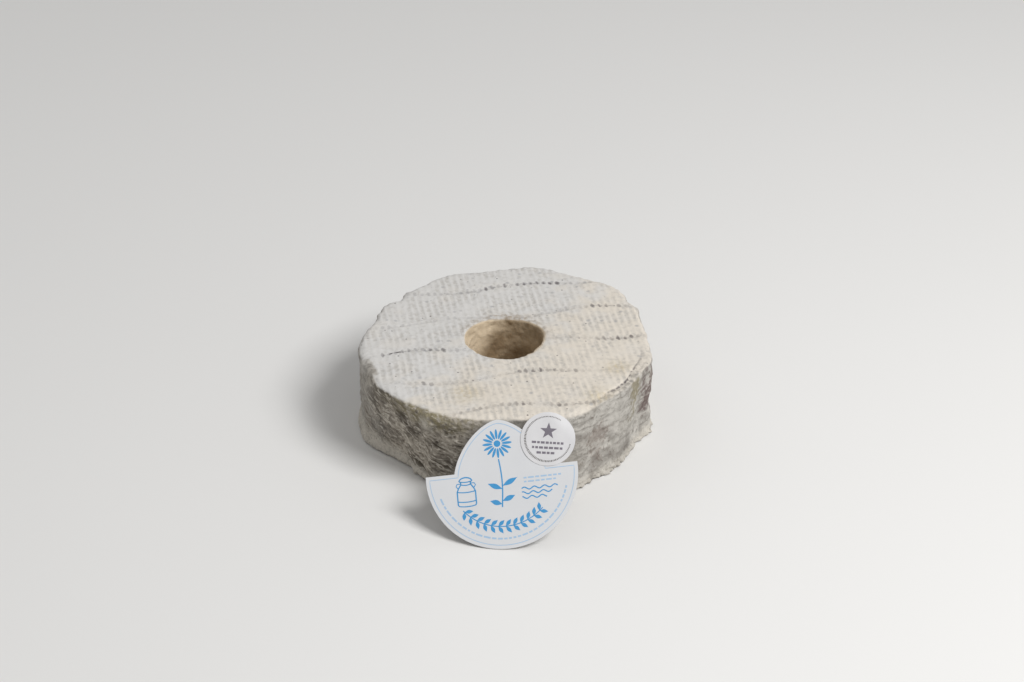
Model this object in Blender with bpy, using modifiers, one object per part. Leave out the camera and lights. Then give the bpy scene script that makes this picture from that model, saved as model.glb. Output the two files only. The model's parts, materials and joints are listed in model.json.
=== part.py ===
"""Goat cheese ring: a small ripened goat's milk cheese, moulded round a peg and drained on a mat.

A card label with a round sticker leans on its front rim. +Z is up, the front faces -Y, and
the origin is at the middle of the whole, on the surface that it stands on.
"""

import math

import bmesh
import bpy
from mathutils import Vector, noise

MM = 0.001

# The ring of cheese
RING_RADIUS = 50.3 * MM
RING_HEIGHT = 31.0 * MM
HOLE_RADIUS = 13.8 * MM
HOLE_CENTRE = Vector((0.6 * MM, 2.8 * MM, 0.0))
RIM_ROUNDING = 2.4 * MM
HOLE_LIP_ROUNDING = 1.0 * MM
BASE_ROUNDING = 0.9 * MM

# Bulges and dents of the rim: (direction in degrees, half width in degrees, how far out in mm).
# Direction 0 is the right, 90 the back and -90 the front, where the card leans.
RIM_LOBES = (
    (62, 38, 3.8),
    (43, 9, 3.2),
    (78, 9, 2.2),
    (112, 9, 1.2),
    (27, 5, 1.8),
    (128, 6, -1.2),
    (141, 4, -3.2),
    (163, 10, -2.5),
    (-144, 9, 0.9),
    (-118, 13, 1.7),
    (-88, 11, -1.5),
    (-61, 8, 2.1),
    (-27, 9, 0.7),
    (-11, 7, 2.1),
)
# How much further out than the rim the foot of the side is, in the same terms
FOOT_LOBES = (
    (-138, 16, -6.8),
    (-124, 4, -1.6),
    (-163, 4, 0.6),
    (-100, 16, -3.2),
    (-56, 10, -1.6),
    (-22, 11, -2.8),
    (60, 22, -1.8),
    (150, 20, -1.2),
)
HOLE_LOBES = (
    (20, 30, 0.6),
    (100, 25, -0.5),
    (-130, 30, -0.4),
)

# The side draws in a little at half height, and a low lip of pressed curd runs round its foot
WAIST = 0.4 * MM
FOOT_LIP = 0.8 * MM
FOOT_LIP_HEIGHT = 2.4 * MM

# Uneven surface: (size of one bump, how far it stands out). The side's bumps fade out over
# the outer part of the top and base, by a power of the way across, so both stay level.
TOP_SWELLS = (24.0 * MM, 0.45 * MM)
SIDE_SWELLS = (15.0 * MM, 0.9 * MM)
SIDE_CRAGS = (6.5 * MM, 0.55 * MM)
TOP_FADE = 4
SIDE_FADE = 6
FOOT_SHARE = 0.08

# Seams of the draining mat, pressed in the top as long shallow grooves by round rods. Each
# sways about a straight line, and crosses it at its own place along the seam, in mm.
MAT_TURN = math.radians(9.5)
SEAM_SPACING = 19.8 * MM
MIDDLE_SEAM = -2.2 * MM
SEAM_ROD_RADIUS = 1.2 * MM
SEAM_DEPTH = 0.5 * MM
SEAM_SWAY = 1.7 * MM
SEAM_SWAY_LENGTH = 50.0 * MM
SEAM_CROSSINGS = (-18, -8, 5, 22, -1)
SEAM_STEP = 4.0 * MM
SEAM_REACH = 56.0 * MM

# The crack along the rim at the front right, between these directions in degrees
RIM_CRACK = (-50, -13)
RIM_CRACK_STEP = 3
RIM_CRACK_INSET = 1.9 * MM
RIM_CRACK_DEPTH = 0.9 * MM
RIM_CRACK_WANDER = 0.7 * MM

# The card label: three quarters of a disc below, square steps, and a narrower arch above
CARD_THICKNESS = 0.5 * MM
CARD_RADIUS = 25.0 * MM
STEP_HEIGHT = 1.3 * MM
ARCH_HALF_WIDTH = 15.6 * MM
ARCH_HEIGHT = 18.0 * MM
ARCH_ROUNDNESS = 1.6
CARD_LEAN = math.radians(45.0)
CARD_TURN = math.radians(-6.0)
CARD_ROLL = math.radians(9.8)
CARD_FOOT = Vector((-2.1 * MM, -79.4 * MM, 0.0))

# The round sticker on the card's upper right edge, with its free edge curling back
STICKER_RADIUS = 9.0 * MM
STICKER_THICKNESS = 0.25 * MM
STICKER_PLACE = (14.3 * MM, 12.3 * MM)
STICKER_CURL = 0.8 * MM
STICKER_CURL_WAY = math.radians(50.0)

# Touching pieces keep this gap
GAP = 0.3 * MM

# How finely the shapes are divided
RING_STEPS = 120
RIM_ROWS = 5
SIDE_ROWS = 10
FOOT_ROWS = 2
BASE_ROWS = 4
HOLE_ROWS = 5
LIP_ROWS = 3
TOP_ROWS = 9
ARC_STEPS = 40
STICKER_RINGS = 5
SMOOTH_ANGLE = math.radians(40)
WELD = 0.01 * MM


def collection(name):
    """Adds a collection to the scene."""
    group = bpy.data.collections.new(name)
    bpy.context.scene.collection.children.link(group)
    return group


def finish(name, colour, roughness):
    """Makes a plain material."""
    material = bpy.data.materials.new(name)
    material.use_nodes = True
    surface = material.node_tree.nodes["Principled BSDF"]
    surface.inputs["Base Color"].default_value = (*colour, 1.0)
    surface.inputs["Roughness"].default_value = roughness
    surface.inputs["Metallic"].default_value = 0.0
    return material


def add_object(name, data, group, parent):
    """Adds an object to a collection, under its parent."""
    item = bpy.data.objects.new(name, data)
    group.objects.link(item)
    item.parent = parent
    return item


def as_mesh(item):
    """Gives the object's shape, with its modifiers, as a mesh of its own."""
    bpy.context.view_layer.update()
    shown = item.evaluated_get(bpy.context.evaluated_depsgraph_get())
    return bpy.data.meshes.new_from_object(shown)


def arc(centre_x, centre_y, radius, start, end, steps):
    """Points along an arc, from one angle in degrees to another."""
    turns = [math.radians(start + (end - start) * i / steps) for i in range(steps + 1)]
    return [(centre_x + radius * math.cos(t), centre_y + radius * math.sin(t)) for t in turns]


def straight(start, end, steps):
    """The points between two ends of a straight run, without the ends."""
    shares = [i / steps for i in range(1, steps)]
    return [(start[0] + (end[0] - start[0]) * s, start[1] + (end[1] - start[1]) * s) for s in shares]


def lobes(angle, shapes):
    """How far out an outline goes in a direction in degrees, in metres."""
    total = 0.0
    for direction, half_width, out in shapes:
        away = (angle - direction + 180.0) % 360.0 - 180.0
        total += out * MM * math.exp(-((away / half_width) ** 2))
    return total


def bumps(point, kind):
    """Smooth uneven swelling at a point, between minus and plus the height of its kind."""
    size, height = kind
    return noise.noise(point / size) * height


def ring_section():
    """The ring's closed section: down the side, in along the base, up the hole and out over the top."""
    rim, lip, foot = RIM_ROUNDING, HOLE_LIP_ROUNDING, BASE_ROUNDING
    rim_arc = arc(RING_RADIUS - rim, RING_HEIGHT - rim, rim, 90, 0, RIM_ROWS)
    foot_arc = arc(RING_RADIUS - foot, foot, foot, 0, -90, FOOT_ROWS)
    hole_foot_arc = arc(HOLE_RADIUS + foot, foot, foot, 270, 180, FOOT_ROWS)
    lip_arc = arc(HOLE_RADIUS + lip, RING_HEIGHT - lip, lip, 180, 90, LIP_ROWS)
    return (
        rim_arc
        + straight(rim_arc[-1], foot_arc[0], SIDE_ROWS)
        + foot_arc
        + straight(foot_arc[-1], hole_foot_arc[0], BASE_ROWS)
        + hole_foot_arc
        + straight(hole_foot_arc[-1], lip_arc[0], HOLE_ROWS)
        + lip_arc
        + straight(lip_arc[-1], rim_arc[0], TOP_ROWS)
    )


def turned_ring(group):
    """The even ring that the mould gives, as a mesh."""
    section = bpy.data.meshes.new("ring_section")
    corners = [(x, 0.0, z) for x, z in ring_section()]
    edges = [(i, (i + 1) % len(corners)) for i in range(len(corners))]
    section.from_pydata(corners, edges, [])
    turned = add_object("turned_ring", section, group, None)
    screw = turned.modifiers.new("Turn", "SCREW")
    screw.steps = RING_STEPS
    screw.render_steps = RING_STEPS
    screw.use_merge_vertices = True
    screw.merge_threshold = WELD
    mesh = as_mesh(turned)
    bpy.data.objects.remove(turned)
    return mesh


def outer_radius(angle, height):
    """How far the side is from the axis, in a direction in degrees and at a share of the height."""
    rim = RING_RADIUS + lobes(angle, RIM_LOBES)
    foot = lobes(angle, FOOT_LOBES) * (1.0 - height)
    waist = WAIST * math.sin(math.pi * height)
    lip = FOOT_LIP * math.exp(-((height * RING_HEIGHT / FOOT_LIP_HEIGHT) ** 2))
    return rim + foot - waist + lip


def uneven(point):
    """Moves a point of the even ring to where it lies on the aged cheese."""
    radius = math.hypot(point.x, point.y)
    angle = math.degrees(math.atan2(point.y, point.x))
    height = point.z / RING_HEIGHT
    outwards = Vector((point.x, point.y, 0.0)).normalized()
    across = (radius - HOLE_RADIUS) / (RING_RADIUS - HOLE_RADIUS)
    hole = HOLE_RADIUS + lobes(angle, HOLE_LOBES)
    place = outwards * (hole + across * (outer_radius(angle, height) - hole))
    place += HOLE_CENTRE * (1.0 - across)
    side = across**SIDE_FADE * math.sqrt(math.sin(math.pi * min(height + FOOT_SHARE, 1.0)))
    place += outwards * side * (bumps(point, SIDE_SWELLS) + bumps(point, SIDE_CRAGS))
    place.z = point.z + height**TOP_FADE * bumps(point, TOP_SWELLS)
    return place


def rod(name, points, group, parent):
    """A closed round rod along the given points, as a cutter."""
    curve = bpy.data.curves.new(name, "CURVE")
    curve.dimensions = "3D"
    curve.bevel_depth = SEAM_ROD_RADIUS
    curve.bevel_resolution = 1
    curve.use_fill_caps = True
    line = curve.splines.new("POLY")
    line.points.add(len(points) - 1)
    for spot, place in zip(line.points, points):
        spot.co = (*place, 1.0)
    bent = add_object(name + "_line", curve, group, None)
    mesh = as_mesh(bent)
    bpy.data.objects.remove(bent)
    shape = bmesh.new()
    shape.from_mesh(mesh)
    bmesh.ops.remove_doubles(shape, verts=shape.verts, dist=WELD)
    bmesh.ops.recalc_face_normals(shape, faces=shape.faces)
    shape.to_mesh(mesh)
    shape.free()
    cutter = add_object(name, mesh, group, parent)
    cutter.hide_render = True
    cutter.display_type = "WIRE"
    return cutter


def rod_height(x, y, depth):
    """How high a rod runs that presses a groove of the given depth in the top."""
    return RING_HEIGHT + bumps(Vector((x, y, RING_HEIGHT)), TOP_SWELLS) + SEAM_ROD_RADIUS - depth


def seam_line(number):
    """Points of one seam of the mat, counted from the front, from past one rim to past the other."""
    offset = MIDDLE_SEAM + (number - len(SEAM_CROSSINGS) // 2) * SEAM_SPACING
    reach = round(SEAM_REACH / SEAM_STEP)
    points = []
    for step in range(-reach, reach + 1):
        along = step * SEAM_STEP
        from_crossing = along - SEAM_CROSSINGS[number] * MM
        across = offset + SEAM_SWAY * math.sin(math.tau * from_crossing / SEAM_SWAY_LENGTH)
        x = along * math.cos(MAT_TURN) - across * math.sin(MAT_TURN)
        y = along * math.sin(MAT_TURN) + across * math.cos(MAT_TURN)
        points.append((x, y, rod_height(x, y, SEAM_DEPTH)))
    return points


def rim_crack_line():
    """Points of the crack that runs along the rim at the front right."""
    points = []
    for angle in range(*RIM_CRACK, RIM_CRACK_STEP):
        radius = RING_RADIUS + lobes(angle, RIM_LOBES) - RIM_CRACK_INSET
        radius += RIM_CRACK_WANDER * noise.noise(Vector((angle / math.tau, 0.0, math.e)))
        turn = math.radians(angle)
        x, y = radius * math.cos(turn), radius * math.sin(turn)
        points.append((x, y, rod_height(x, y, RIM_CRACK_DEPTH)))
    return points


def cheese_ring(group, cutters, parent):
    """The cheese itself, one solid with a hole down the middle."""
    mesh = turned_ring(group)
    for vertex in mesh.vertices:
        vertex.co = uneven(vertex.co)
    ring = add_object("cheese_ring", mesh, group, parent)
    mesh.materials.append(finish("ripened_rind", (0.66, 0.62, 0.55), 0.9))
    lines = {f"mat_seam_{i}": seam_line(i) for i in range(len(SEAM_CROSSINGS))}
    lines["rim_crack"] = rim_crack_line()
    for name, points in lines.items():
        groove = ring.modifiers.new(name, "BOOLEAN")
        groove.operation = "DIFFERENCE"
        groove.solver = "EXACT"
        groove.object = rod(name, points, cutters, parent)
    mesh.shade_smooth()
    mesh.set_sharp_from_angle(angle=SMOOTH_ANGLE)
    return ring


def card_outline():
    """The label's outline: the low arc from right to left, then up the step and over the arch."""
    start = math.degrees(math.asin(STEP_HEIGHT / CARD_RADIUS))
    low_arc = arc(0.0, 0.0, CARD_RADIUS, start, -180.0 - start, ARC_STEPS)
    side = ARCH_HALF_WIDTH * (1 - (STEP_HEIGHT / ARCH_HEIGHT) ** ARCH_ROUNDNESS) ** (1 / ARCH_ROUNDNESS)
    first = math.acos((side / ARCH_HALF_WIDTH) ** (ARCH_ROUNDNESS / 2))
    arch = []
    for step in range(ARC_STEPS + 1):
        turn = math.pi - first - (math.pi - 2 * first) * step / ARC_STEPS
        cosine, sine = math.cos(turn), math.sin(turn)
        x = math.copysign(ARCH_HALF_WIDTH * abs(cosine) ** (2 / ARCH_ROUNDNESS), cosine)
        arch.append((x, ARCH_HEIGHT * sine ** (2 / ARCH_ROUNDNESS)))
    return low_arc + arch


def label(group, parent):
    """The card label, one flat die-cut piece."""
    outline = bpy.data.curves.new("label", "CURVE")
    outline.dimensions = "2D"
    outline.fill_mode = "BOTH"
    outline.extrude = CARD_THICKNESS / 2
    line = outline.splines.new("POLY")
    points = card_outline()
    line.points.add(len(points) - 1)
    for spot, place in zip(line.points, points):
        spot.co = (*place, 0.0, 1.0)
    line.use_cyclic_u = True
    card = add_object("label", outline, group, parent)
    card.rotation_euler = (0.0, 0.0, CARD_ROLL)
    outline.materials.append(finish("white_card", (0.72, 0.76, 0.80), 0.55))
    return card


def round_sticker(group, parent):
    """The thin sticker, half on the card's edge and half past it."""
    section = bpy.data.meshes.new("sticker_section")
    shares = [i / STICKER_RINGS for i in range(STICKER_RINGS, -1, -1)]
    edges = [(i, i + 1) for i in range(STICKER_RINGS)]
    section.from_pydata([(STICKER_RADIUS * share, 0.0, 0.0) for share in shares], edges, [])
    turned = add_object("turned_sticker", section, group, None)
    screw = turned.modifiers.new("Turn", "SCREW")
    screw.steps = ARC_STEPS
    screw.render_steps = ARC_STEPS
    screw.use_merge_vertices = True
    screw.merge_threshold = WELD
    disc = as_mesh(turned)
    bpy.data.objects.remove(turned)
    curl_way = Vector((math.cos(STICKER_CURL_WAY), math.sin(STICKER_CURL_WAY), 0.0))
    for vertex in disc.vertices:
        share = max(0.0, vertex.co.dot(curl_way) / STICKER_RADIUS)
        vertex.co.z -= STICKER_CURL * share**3
    sticker = add_object("round_sticker", disc, group, parent)
    lift = CARD_THICKNESS / 2 + GAP + STICKER_THICKNESS / 2
    sticker.location = (*STICKER_PLACE, lift)
    shell = sticker.modifiers.new("Paper", "SOLIDIFY")
    shell.thickness = STICKER_THICKNESS
    shell.offset = 0.0
    disc.materials.append(finish("white_sticker", (0.74, 0.74, 0.74), 0.5))
    return sticker


def leaning_card(group, parent):
    """The empty that holds the card's plane, leaning with its lower edge on the ground."""
    lean = add_object("leaning_card", None, group, parent)
    lean.rotation_euler = (CARD_LEAN, 0.0, CARD_TURN)
    uphill = Vector((-math.sin(CARD_TURN), math.cos(CARD_TURN), 0.0)) * math.cos(CARD_LEAN)
    uphill.z = math.sin(CARD_LEAN)
    lean.location = CARD_FOOT + uphill * CARD_RADIUS
    lean.location.z += CARD_THICKNESS / 2 * math.cos(CARD_LEAN)
    return lean


def stand_on_origin(whole, pieces):
    """Moves the whole so that the middle of its footprint is at the origin, at ground level."""
    corners = []
    for piece in pieces:
        mesh = as_mesh(piece)
        corners += [piece.matrix_world @ vertex.co for vertex in mesh.vertices]
        bpy.data.meshes.remove(mesh)
    low = [min(corner[axis] for corner in corners) for axis in range(3)]
    high = [max(corner[axis] for corner in corners) for axis in range(3)]
    whole.location -= Vector(((low[0] + high[0]) / 2, (low[1] + high[1]) / 2, low[2]))
    bpy.context.view_layer.update()


def main():
    """Clears the scene and builds the cheese with its label."""
    for item in list(bpy.data.objects):
        bpy.data.objects.remove(item)
    group = collection("goat_cheese_ring")
    cutters = collection("cutters")
    whole = add_object("whole", None, group, None)
    lean = leaning_card(group, whole)
    pieces = [
        cheese_ring(group, cutters, whole),
        label(group, lean),
        round_sticker(group, lean),
    ]
    stand_on_origin(whole, pieces)


main()
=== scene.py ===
"""Goat cheese ring: the looks of a ripened goat's milk cheese with its label, around its CAD part.

It is laid out as an add-on and run as a script. Lengths are in metres, +Z is up and the front,
where the label leans on the rim, faces -Y. Directions round the ring are in degrees: 0 is the
right, 90 the back and -90 the front.
"""

import json
import math
from functools import partial

import bmesh
import bpy
import numpy as np
from bpy.props import FloatProperty, FloatVectorProperty, PointerProperty
from mathutils import Euler, Matrix, Vector, noise


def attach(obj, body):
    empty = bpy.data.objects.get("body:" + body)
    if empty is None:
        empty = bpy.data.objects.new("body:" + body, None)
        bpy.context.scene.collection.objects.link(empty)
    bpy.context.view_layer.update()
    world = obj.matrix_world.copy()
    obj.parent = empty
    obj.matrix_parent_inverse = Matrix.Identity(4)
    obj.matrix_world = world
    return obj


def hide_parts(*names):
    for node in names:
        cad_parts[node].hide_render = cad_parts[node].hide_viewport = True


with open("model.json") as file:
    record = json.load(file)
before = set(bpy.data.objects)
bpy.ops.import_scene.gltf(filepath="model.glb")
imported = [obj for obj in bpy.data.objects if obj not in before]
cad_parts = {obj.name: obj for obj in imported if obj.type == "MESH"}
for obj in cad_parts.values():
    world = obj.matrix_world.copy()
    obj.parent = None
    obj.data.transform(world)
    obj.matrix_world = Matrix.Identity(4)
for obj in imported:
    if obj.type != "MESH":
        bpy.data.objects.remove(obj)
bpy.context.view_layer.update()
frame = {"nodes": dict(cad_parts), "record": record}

bl_info = {
    "name": "Goat Cheese Ring",
    "version": (1, 0, 0),
    "blender": (4, 5, 0),
    "location": "View3D > Sidebar > Cheese",
    "description": "Gives the goat cheese ring its rind, its printed label and its sticker",
    "category": "Add Mesh",
}

MM = 0.001

# The ring: its axis is found from the hole, which is a little off centre
HOLE_OFF_CENTRE = Vector((0.6, 2.8)) * MM
HOLE_BOX = frame["record"]["physics"]["openings"][0]["box_m"]
HOLE_MIDDLE = (Vector(HOLE_BOX[0]) + Vector(HOLE_BOX[1])).xy / 2
RING_AXIS = HOLE_MIDDLE - HOLE_OFF_CENTRE
RING_HEIGHT = 31.0 * MM
RING_RADIUS = 50.3 * MM

# The draining mat's seams, counted from the front: the middle one's place, how each sways to the
# sides, and where each crosses its straight line, in mm to the right
MAT_TURN = math.radians(9.5)
SEAM_SPACING = 19.8 * MM
MIDDLE_SEAM = -2.2 * MM
SEAM_SWAY = 1.7 * MM
SEAM_SWAY_LENGTH = 50.0 * MM
SEAM_CROSSINGS = (-18, -8, 5, 22, -1)

# Where each seam's stitches left dark marks: (place along the seam in mm, half width in mm, how dark)
SEAM_MARKS = (
    ((-17, 7, 0.7), (-2, 5, 0.9), (17, 9, 1.0)),
    ((-32, 6, 0.6), (-17, 8, 0.35), (11, 13, 1.0)),
    ((-38, 4, 1.7), (-23, 9, 0.8), (28, 14, 0.5), (42, 6, 0.9)),
    ((-30, 22, 0.3), (16, 8, 0.4), (38, 11, 1.1)),
    ((-22, 14, 0.35), (-2, 7, 1.0), (21, 16, 1.0)),
)

# How much longer a stitch mark is across the seam than along it
STITCH_STRETCH = 1.8

# The crack along the rim at the front right: its middle and half width in degrees, how far inside
# the rim it runs, and how much further in for each degree past its middle, up to so many degrees
RIM_CRACK = (-31, 17)
RIM_CRACK_INSET = 2.2 * MM
RIM_CRACK_DRIFT = 0.09 * MM
RIM_CRACK_DRIFT_DEGREES = 20

# Where things show round the ring: (direction, half width), both in degrees
PALE_RIM = (-175, 9)
KNOB = (-120, 3)
OLIVE_MOULD = (-117, 22)
OLIVE_COLUMN = (-27, 5)
PURPLE_MOULD = (-12, 9)
BRUISE = (-50, 9)
BROAD_FOOT = (-165, 28)
THIN_FOOT = (-45, 35)
BURRS = (-35, 35)
HOLE_SWELLING = (-15, 45)
HOLE_SMUDGE = (85, 65)
KNOB_HEIGHT = 26.0 * MM
BRUISE_HEIGHT = 15.0 * MM

# Grey mould on the side, its darkness at the front left partly painted shade: (direction and half width in
# degrees, how thick)
GREY_MOULD_AND_SHADE = ((-128, 34, 1.2), (150, 40, 0.6), (60, 35, 0.45))

# How steeply the mould's strands rise to the right, in degrees: below 0, so they fall
STRAND_SLANT = -22

# Yellow stains on the top: (place to the right and to the back of the axis, half width), in mm
STAINS = ((-12.6, -33.4, 5.0), (38.8, -16.8, 4.0), (32.5, -35.3, 5.0))

# Rim worn down to the side's grey: (how much, from and to in mm from the rim, direction, half width)
WORN_EDGES = ((0.55, -4.5, -1.5, -119, 15), (0.75, -5.5, -2.5, -160, 10))

# Unevenness of each surface: (height in mm, size of the bumps in mm, seed)
TOP_LUMPS = ((0.16, 5, 1.7), (0.10, 1.9, 2.9), (0.05, 1.1, 7.7))
SIDE_LUMPS = ((0.5, 5, 6.1), (0.22, 2.6, 3.3), (0.15, 1.4, 8.3))
HOLE_LUMPS = ((0.5, 4, 1.3), (0.22, 1.6, 5.9))

# Share of the rind's faces that stays when those of the level base are thinned out
BASE_THINNING = 0.76

# The card: its disc, the steps at its sides, the arch above them, and how it leans on the rim
CARD_RADIUS = 25.0 * MM
STEP_HEIGHT = 1.3 * MM
ARCH_HALF_WIDTH = 15.6 * MM
ARCH_HEIGHT = 18.0 * MM
ARCH_ROUNDNESS = 1.6
CARD_LEAN = math.radians(45.0)
CARD_TURN = math.radians(-6.0)
CARD_ROLL = math.radians(9.8)
INK_GAP = 0.005 * MM

# The sticker: the way its free edge faces in its plane, how far its paper waves, and its ink
STICKER_RADIUS = 9.0 * MM
CURL_WAY = math.radians(50)
PAPER_WAVE = 0.05 * MM
STICKER_INK_HEIGHT = 0.03 * MM

# The stage: what the camera aims at, from the ring's axis, and the lamps (name, place in metres,
# width in metres, power in watts)
AIM_OFF_AXIS = Vector((3.1, 0.35)) * MM
FLOOR_SIZE = 6.0
SKY_STRENGTH = 0.35
LAMPS = (
    ("key", (0.62, -0.42, 0.85), 0.45, 10.5),
    ("fill", (-0.7, 0.5, 0.9), 1.0, 1.5),
)


def linear(code):
    """Turns an sRGB hex colour into linear red, green and blue."""
    shares = [int(code[i : i + 2], 16) / 255 for i in (0, 2, 4)]
    return tuple(s / 12.92 if s <= 0.04045 else ((s + 0.055) / 1.055) ** 2.4 for s in shares)


def colour(name, code, description):
    """A colour that a user may change, given as an sRGB hex code."""
    return FloatVectorProperty(
        name=name, description=description, default=linear(code), subtype="COLOR", size=3, min=0, max=1
    )


def length(name, value, description):
    """A length that a user may change."""
    return FloatProperty(name=name, description=description, default=value, unit="LENGTH", min=0)


class RindSettings(bpy.types.PropertyGroup):
    """Sizes and colours of the rind."""

    spacing: length("Mesh spacing", 0.52 * MM, "Distance between the points of the rind's mesh")
    rib_pitch: length("Rib pitch", 2.35 * MM, "Distance between two sticks of the draining mat")
    rib_depth: length("Rib depth", 0.2 * MM, "How deep the sticks pressed in the top")
    stitch_depth: length("Stitch depth", 0.5 * MM, "How deep the mat's stitches pressed in the top")
    fibre_height: length("Fibre height", 0.45 * MM, "How far the strands of grey mould stand out")
    wrinkle_height: length("Wrinkle height", 0.28 * MM, "How far the pale side's wrinkles stand out")
    burr_height: length("Burr height", 1.25 * MM, "How far the ragged foot stands out")
    top_cool: colour("Top, cool", "D0CECB", "Top, at the back and left")
    top_warm: colour("Top, warm", "D8D0C4", "Top, at the front and right")
    # Painted shade in the valleys of the mat's marks; also the tone of the top's darker mottling
    valley: colour("Rib valley", "AFABA5", "Bottom of the mat's marks")
    stain: colour("Stain", "BFAD84", "Yellow stains on the top")
    spot: colour("Spots", "9A9A9C", "Soft bluish grey spots of mould on the top")
    speck: colour("Specks", "585254", "Pits, specks and stitch marks")
    pale_side: colour("Pale side", "B7B3AC", "Side, where little mould grew")
    # Also the tone of the painted shade in the side's creases and on the rim band outside the crack
    patches_and_shade: colour("Pale side's patches", "7B7670", "Brownish patches on the pale side")
    # Mould and dark mould are partly the mould's own grey-brown and partly painted shade on the left side;
    # dark mould also colours specks and the painted shade in the side's gaps
    mould: colour("Mould", "A0988C", "Side, where grey-brown mould grew")
    mould_dark: colour("Mould, dark", "504940", "Thickest mould")
    mould_light: colour("Mould, light", "AFA79B", "Raised folds of the mould")
    fibre: colour("Mould strands", "CEC7BB", "Strands that stand out of the mould")
    olive: colour("Olive mould", "857C60", "Mould under the rim at the left")
    bruise: colour("Bruise", "83766E", "Brown hairy mould halfway up the pale side")
    purple: colour("Purple mould", "6A5B58", "Mould at the right edge")
    foot: colour("Foot", "CAC4B9", "Lip along the foot")
    hole: colour("Hole", "D8C6AB", "Wall of the hole")
    # Painted shade on the hole's wall, where the light does not reach; the brown smudge by the hole has the
    # same tone
    hole_shade_and_smudge: colour("Hole, dark", "8C785E", "Damp parts of the hole's wall")


class PrintSettings(bpy.types.PropertyGroup):
    """Colours and line widths of the card label's print."""

    card: colour("Card", "D6D7D9", "White of the card")
    ink: colour("Ink", "2B8CC4", "Blue of the drawings")
    pale_ink: colour("Pale ink", "9DBBD6", "Blue of the border and the small lines")
    ink_height: length("Ink height", 0.03 * MM, "Thickness of the ink")
    line_width: length("Line width", 0.42 * MM, "Width of the drawn lines")
    border_inset: length("Border inset", 1.25 * MM, "Distance from the card's edge to its border line")
    border_width: length("Border width", 0.22 * MM, "Width of the border line")


class StickerSettings(bpy.types.PropertyGroup):
    """Sizes and colours of the round sticker."""

    paper: colour("Paper", "D5D4D5", "White of the sticker")
    ink: colour("Ink", "6E6872", "Grey of the star and bars")
    ring_ink: colour("Ring ink", "4A4540", "Dark grey of the beaded ring")
    thickness: length("Thickness", 0.15 * MM, "Thickness of the paper")
    curl: length("Curl", 0.8 * MM, "How far the free edge curls back")
    ring_radius: length("Ring radius", 7.5 * MM, "Radius of the printed ring")


class StageSettings(bpy.types.PropertyGroup):
    """The floor, the lights and the camera."""

    floor: colour("Floor", "E4E3E1", "Colour of the floor")
    tilt: FloatProperty(
        name="Tilt", description="How far the camera looks down", default=math.radians(31), subtype="ANGLE"
    )
    distance: length("Distance", 836.9 * MM, "Distance from the camera to the middle of the top")
    lens: FloatProperty(name="Lens", description="Focal length in millimetres", default=85.0, min=1)


# What a kind of node is set to where nothing else is asked for
USUAL_SETTINGS = {
    "MapRange": {"interpolation_type": "SMOOTHSTEP"},
    "Math": {"operation": "MULTIPLY"},
    "Mix": {"data_type": "RGBA"},
}


def add_node(tree, kind, inputs=(), **settings):
    """Adds a shader node. Inputs go by place or name, as values, sockets, or nodes with one output."""
    node = tree.nodes.new("ShaderNode" + kind)
    for name, value in (USUAL_SETTINGS.get(kind, {}) | settings).items():
        setattr(node, name, value)
    usable = [socket for socket in node.inputs if socket.enabled]
    for key, value in inputs.items() if isinstance(inputs, dict) else enumerate(inputs):
        socket = usable[key] if isinstance(key, int) else next(s for s in usable if s.name == key)
        if isinstance(value, bpy.types.Node):
            value = next(output for output in value.outputs if output.enabled)
        if isinstance(value, bpy.types.NodeSocket):
            tree.links.new(value, socket)
        elif socket.type == "RGBA":
            socket.default_value = (*value, 1.0)
        else:
            socket.default_value = value
    return node


def new_material(name, **surface_values):
    """A material, a function that adds a node to it, its surface, and the place of each point."""
    material = bpy.data.materials.new(name)
    material.use_nodes = True
    node = partial(add_node, material.node_tree)
    surface = material.node_tree.nodes["Principled BSDF"]
    for key, value in surface_values.items():
        surface.inputs[key.replace("_", " ")].default_value = value
    place = node("TexCoord").outputs["Object"]
    return material, node, surface, place


def coloured(material, surface, tint, bump=None):
    """The material, with a colour node, and a bump node if there is one, linked to its surface."""
    links = material.node_tree.links
    links.new(next(output for output in tint.outputs if output.enabled), surface.inputs["Base Color"])
    if bump:
        links.new(bump.outputs["Normal"], surface.inputs["Normal"])
    return material


def step(low, high, value):
    """Goes smoothly from 0 to 1 as the value goes from low to high."""
    share = np.clip((value - low) / (high - low), 0.0, 1.0)
    return share * share * (3.0 - 2.0 * share)


def bell(away, half_width):
    """1 where the distance is 0, and close to 0 from twice the half width on."""
    return np.exp(-((away / half_width) ** 2))


def turn_between(angles, direction):
    """How far each angle is from a direction, in degrees, the short way round."""
    return (angles - direction + 180.0) % 360.0 - 180.0


def uneven(places, size, seed=0.0):
    """Smooth noise from about -1 to 1, with bumps of the given size."""
    return np.array([noise.noise(spot) for spot in (places / size + seed).tolist()])


def streaks(places, ways, long, wide, seed=0.0, samples=7):
    """Noise drawn out along a way at each place, from about -1 to 1."""
    total = 0.0
    for share in np.linspace(-0.5, 0.5, samples):
        total = total + uneven(places + ways * (long * share), wide, seed)
    return np.clip(total / samples * 2.4, -1.0, 1.0)


def chance(first, second, seed):
    """A random-looking number from 0 to 1 for a pair of whole numbers."""
    return (noise.cell((first + 0.5, second + 0.5, seed + 0.5)) + 1.0) / 2.0


def read_vectors(items, name):
    """A vector of each mesh element as an array of three columns."""
    values = np.empty(len(items) * 3, np.float32)
    items.foreach_get(name, values)
    return values.reshape(-1, 3).astype(float)


def store(mesh, name, values):
    """Keeps one number or one vector for each point of the mesh, for its material to read."""
    kind, field = ("FLOAT", "value") if values.ndim == 1 else ("FLOAT_VECTOR", "vector")
    mesh.attributes.new(name, kind, "POINT").data.foreach_set(field, values.astype(np.float32).ravel())


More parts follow.
